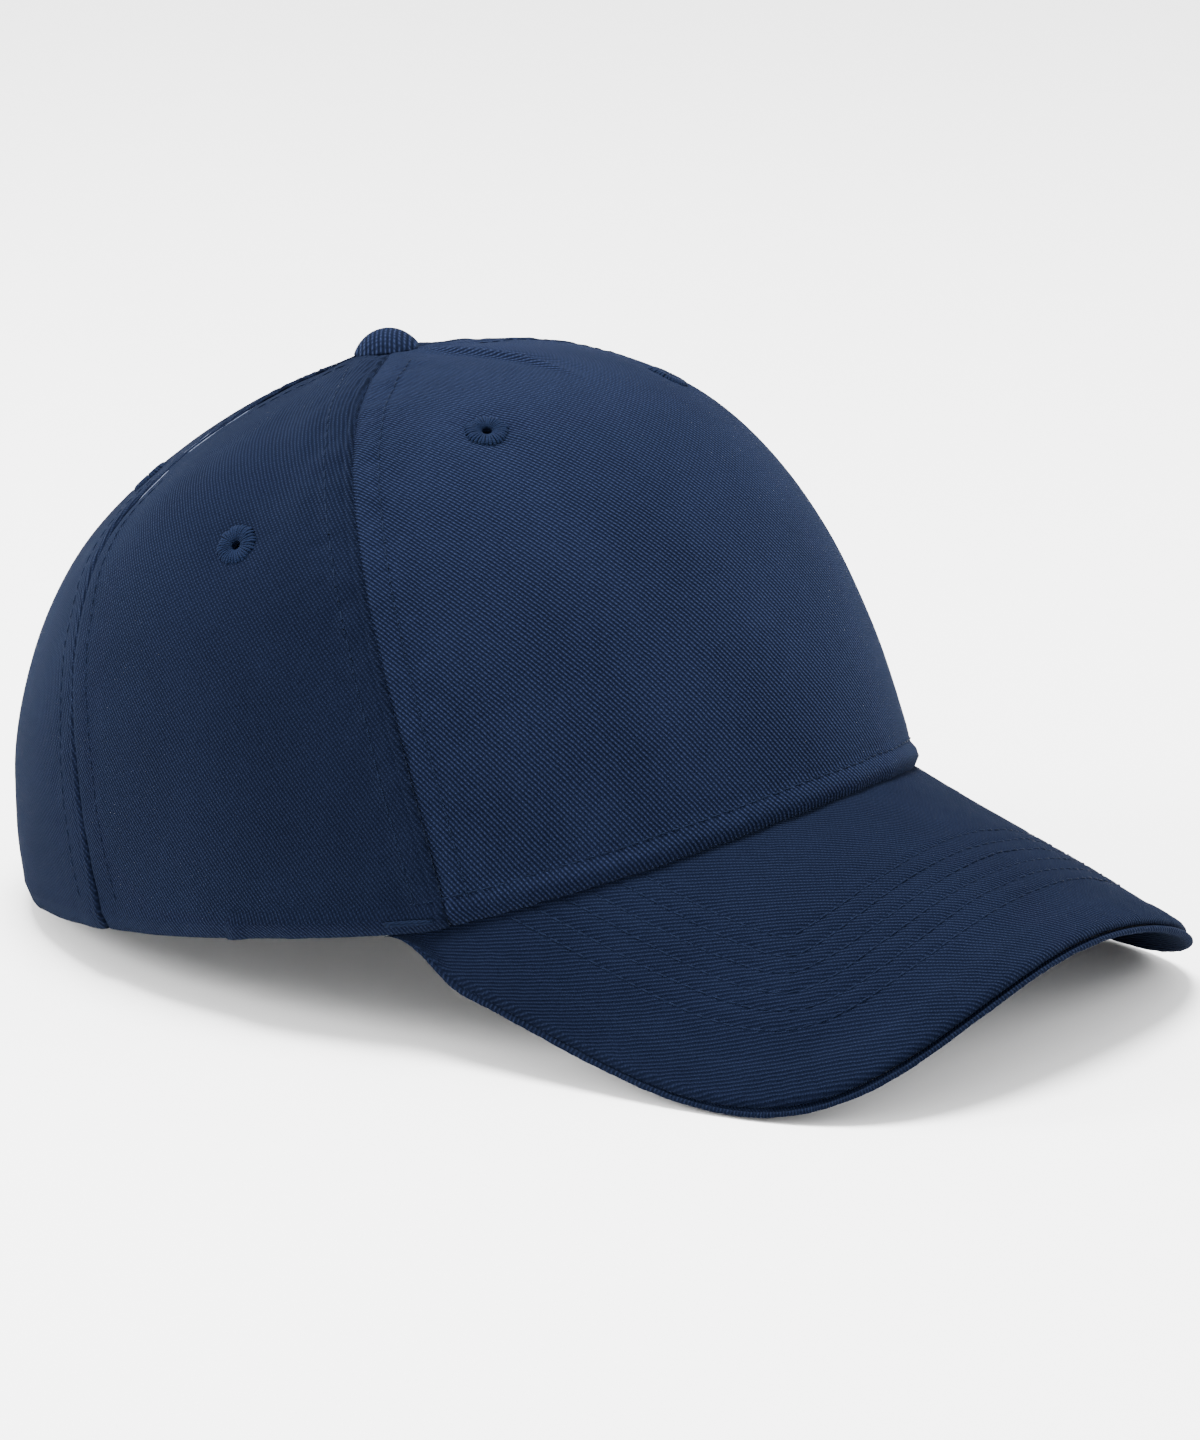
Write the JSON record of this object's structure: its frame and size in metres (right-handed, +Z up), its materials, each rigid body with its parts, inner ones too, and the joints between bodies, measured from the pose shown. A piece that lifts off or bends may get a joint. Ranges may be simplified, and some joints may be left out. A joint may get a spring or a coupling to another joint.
{
  "type": "baseball cap",
  "caption": "Structured baseball cap with stitched panels, a curved stitched visor, a covered top button, sewn eyelets and an adjustable rear strap with a cam-lever buckle.",
  "frame": {"origin": "bottom centre of the bounding box of the cap as it stands on a level surface", "axes": "+Z up, visor towards -Y, wearer's left +X"},
  "size_m": [0.1714, 0.2608, 0.1259],
  "materials": {
    "twill": "brushed navy cotton twill, soft nap",
    "buckram": "stiff woven mesh",
    "seam_tape": "navy herringbone tape",
    "eyelet_thread": "satin-stitched polyester thread",
    "button_metal": "plain mill finish",
    "padding": "thin foam-backed interlining",
    "sweatband_cloth": "plain navy cotton twill",
    "label_satin": "blank woven satin",
    "visor_board": "moulded polyethylene sheet",
    "buckle_metal": "antique nickel, satin"
  },
  "bodies": {
    "cap": {"front_panel": "twill", "side_panel_right": "twill", "side_panel_left": "twill", "back_panel_right": "twill", "back_panel_left": "twill", "front_buckram": "buckram", "front_seam_tape_right": "seam_tape", "front_seam_tape_left": "seam_tape", "side_seam_tape_right": "seam_tape", "side_seam_tape_left": "seam_tape", "centre_back_tape": "seam_tape", "opening_binding": "seam_tape", "eyelet_front_right": "eyelet_thread", "eyelet_front_left": "eyelet_thread", "eyelet_side_right": "eyelet_thread", "eyelet_side_left": "eyelet_thread", "eyelet_back_right": "eyelet_thread", "eyelet_back_left": "eyelet_thread", "button_cover": "twill", "button_shell": "button_metal", "button_rivet": "button_metal", "button_washer": "button_metal", "sweatband_padding": "padding", "sweatband_facing": "sweatband_cloth", "size_label": "label_satin", "visor_top_cover": "twill", "visor_board": "visor_board", "visor_under_cover": "twill", "buckle_frame": "buckle_metal", "buckle_pin": "buckle_metal", "buckle_tab": "twill"},
    "strap": {"adjusting_strap": "twill"},
    "lever": {"buckle_lever": "buckle_metal"}
  },
  "joints": [
    {"name": "strap_adjust", "type": "hinge", "parent": "cap", "child": "strap", "pos_m": [0, 0.05799, 0.02331], "axis": [0, -0.1719, -0.9851], "range_deg": [-8, 14]},
    {"name": "buckle_lever_hinge", "type": "hinge", "parent": "cap", "child": "lever", "pos_m": [0.02684, 0.12344, 0.01189], "axis": [0, -0.1719, -0.9851], "range_deg": [0, 100]}
  ]
}
